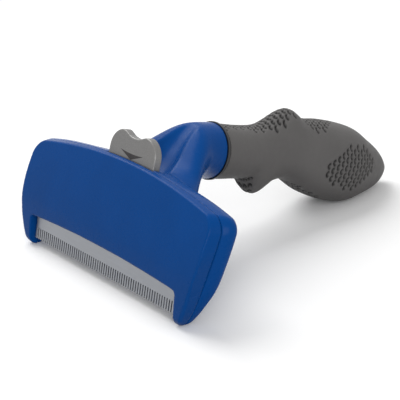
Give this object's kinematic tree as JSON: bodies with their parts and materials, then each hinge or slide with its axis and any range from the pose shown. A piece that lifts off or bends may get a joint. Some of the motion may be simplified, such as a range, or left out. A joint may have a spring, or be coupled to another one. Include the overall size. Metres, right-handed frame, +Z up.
{
  "type": "deshedding tool",
  "caption": "Pet deshedding tool: a wide steel comb blade in a flat moulded head, a push-down hair ejector button, and a contoured rubber grip on a swept neck.",
  "frame": {"origin": "on the table under the middle of the tool's box, as it rests on its two skin guards and the belly of its grip", "axes": "+X across the blade, +Y along the handle away from the blade, +Z up from the table"},
  "size_m": [0.133, 0.172, 0.0612],
  "materials": {
    "head_blue": "satin moulded ABS",
    "blade_steel": "ground stainless steel",
    "screw_steel": "plated",
    "button_grey": "satin, with polished edges",
    "plate_plastic": "matt acetal",
    "ring_black": "satin",
    "core_plastic": "matt",
    "grip_rubber": "soft matt, with textured patches"
  },
  "bodies": {
    "handle_and_head": {"front_shell": "head_blue", "rear_shell": "head_blue", "blade": "blade_steel", "blade_screws": "screw_steel", "shell_screws": "screw_steel", "return_spring_left": "screw_steel", "return_spring_right": "screw_steel", "guide_pin_left": "screw_steel", "guide_pin_right": "screw_steel", "neck_ring": "ring_black", "handle_core_left": "core_plastic", "handle_core_right": "core_plastic", "core_screws": "screw_steel", "grip": "grip_rubber"},
    "ejector": {"ejector_plate": "plate_plastic", "ejector_button": "button_grey", "button_screws": "screw_steel"}
  },
  "joints": [
    {"name": "ejector_slide", "type": "slide", "parent": "handle_and_head", "child": "ejector", "axis": [0, -0.3067, -0.9518], "range_m": [0, 0.009], "stiffness_N_per_m": 400, "springref_m": -0.004, "deforming": ["return_spring_left", "return_spring_right"]}
  ]
}
